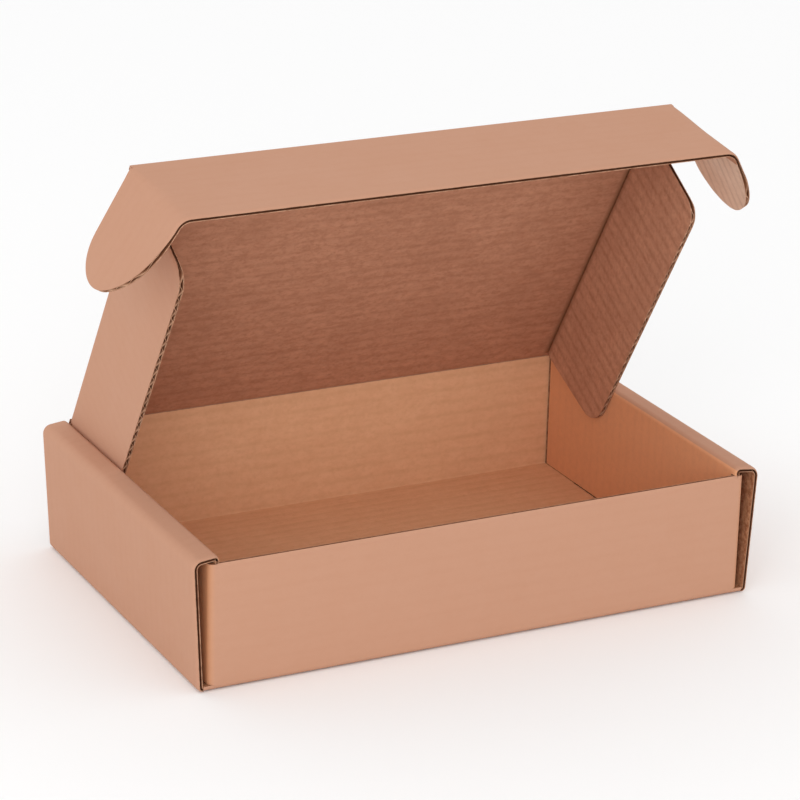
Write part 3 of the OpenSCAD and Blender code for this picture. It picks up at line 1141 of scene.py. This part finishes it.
strip, start, end = crease_strip(
    "lid_hinge_crease", hinge, HALF, BACK, lid_out, UP, lid_along, RIGHT, (-flap_face, flap_face)
)
finish_strip(strip, start, end)
finish_core(
    crease_core("lid_hinge_core", hinge, HALF - CORE_GAP, RIGHT, (-flap_face, flap_face), BACK), "tray"
)
strip, start, end = crease_strip(
    "tuck_crease", tuck_crease, HALF, lid_out, tuck_out, lid_along, tuck_along, RIGHT, tuck_span
)
finish_strip(strip, start, end)
finish_core(
    crease_core("tuck_crease_core", tuck_crease, HALF - CORE_GAP, RIGHT, tuck_span, lid_out), "lid"
)

# %% Side flap creases and ear creases
SIDE_CREASE_INSET = 0.2
print("the bend at each ear reaches", BEND_REACH, "mm to both sides")


def side_flap_crease(side_name, side):
    centre = hinge + RIGHT * side * crease_x - lid_out * HALF
    outward = RIGHT * side
    span = (SIDE_FLAP_START + SIDE_CREASE_INSET, side_root)
    strip, start, end = crease_strip(
        side_name + "_side_flap_crease", centre, BOARD, lid_out, outward, outward, -lid_out, lid_along, span
    )
    finish_strip(strip, start, end)
    core = crease_core(
        side_name + "_side_flap_core", centre, BOARD - CORE_GAP, lid_along, span, lid_out, outward
    )
    finish_core(core, "lid")


def ear_crease(side_name, side):
    bend = right_bend if side > 0 else left_bend
    along = ear_along if side > 0 else mirrored(ear_along)
    fold = tuck_crease + RIGHT * side * ear_x
    start = (fold - RIGHT * side * BEND_REACH) * MM
    end = (fold + along * BEND_REACH) * MM
    finish_strip(bend, start, end)


side_pair(side_flap_crease)
side_pair(ear_crease)

# %% [markdown]
# ## Each board stands for its solid
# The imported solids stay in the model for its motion. Each dressed board is shown in place of one of them
# and rides on the same body, so it turns on the same joint.

# %% Put the boards on their bodies
for board, node in (
    (tray_board, "tray"),
    (lid_board, "lid"),
    (tuck_board, "tuck_flap"),
    (left_flap_board, "left_side_flap"),
    (right_flap_board, "right_side_flap"),
    (left_ear_board, "left_ear"),
    (right_ear_board, "right_ear"),
):
    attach(board, node)
    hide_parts(node)

# %% [markdown]
# ## Floor and light
# The box stands on a plain white floor in soft light from all round, as in a packshot. A wide light from
# the upper left gives the panels a little shape, and the white floor throws light back up under the lid.

# %% Floor, world and light
FLOOR_SIZE_M = 12
FLOOR_WHITE = (0.97, 0.97, 0.97, 1)
FLOOR_ROUGHNESS = 0.9
FLOOR_DROP = 0.0004
SKY_STRENGTH = 0.97
KEY_SIZE = 1.8
KEY_ENERGY = 22
KEY_PLACE = (-1.6, -2.3, 1.2)
KEY_AIM = Vector((0, 0, 0.1))
print("floor:", FLOOR_SIZE_M, "m across, key light:", KEY_ENERGY, "W")


def make_floor():
    mesh = bpy.data.meshes.new("floor")
    reach = FLOOR_SIZE_M / 2
    mesh.from_pydata(
        [(-reach, -reach, 0), (reach, -reach, 0), (reach, reach, 0), (-reach, reach, 0)], [], [(0, 1, 2, 3)]
    )
    shader = Shader("floor_white")
    shader.surface.inputs["Base Color"].default_value = FLOOR_WHITE
    shader.surface.inputs["Roughness"].default_value = FLOOR_ROUGHNESS
    mesh.materials.append(shader.material)
    floor = placed("floor", mesh)
    floor.location.z = -FLOOR_DROP
    return floor


def make_sky():
    world = bpy.data.worlds.new("studio")
    world.use_nodes = True
    background = world.node_tree.nodes["Background"]
    background.inputs["Color"].default_value = (1, 1, 1, 1)
    background.inputs["Strength"].default_value = SKY_STRENGTH
    bpy.context.scene.world = world


def make_key_light():
    data = bpy.data.lights.new("key", "AREA")
    data.shape = "SQUARE"
    data.size = KEY_SIZE
    data.energy = KEY_ENERGY
    light = placed("key", data)
    light.location = KEY_PLACE
    aim = KEY_AIM - light.location
    light.rotation_euler = aim.to_track_quat("-Z", "Y").to_euler()


make_floor()
make_sky()
make_key_light()
bpy.context.scene.view_settings.view_transform = "Standard"
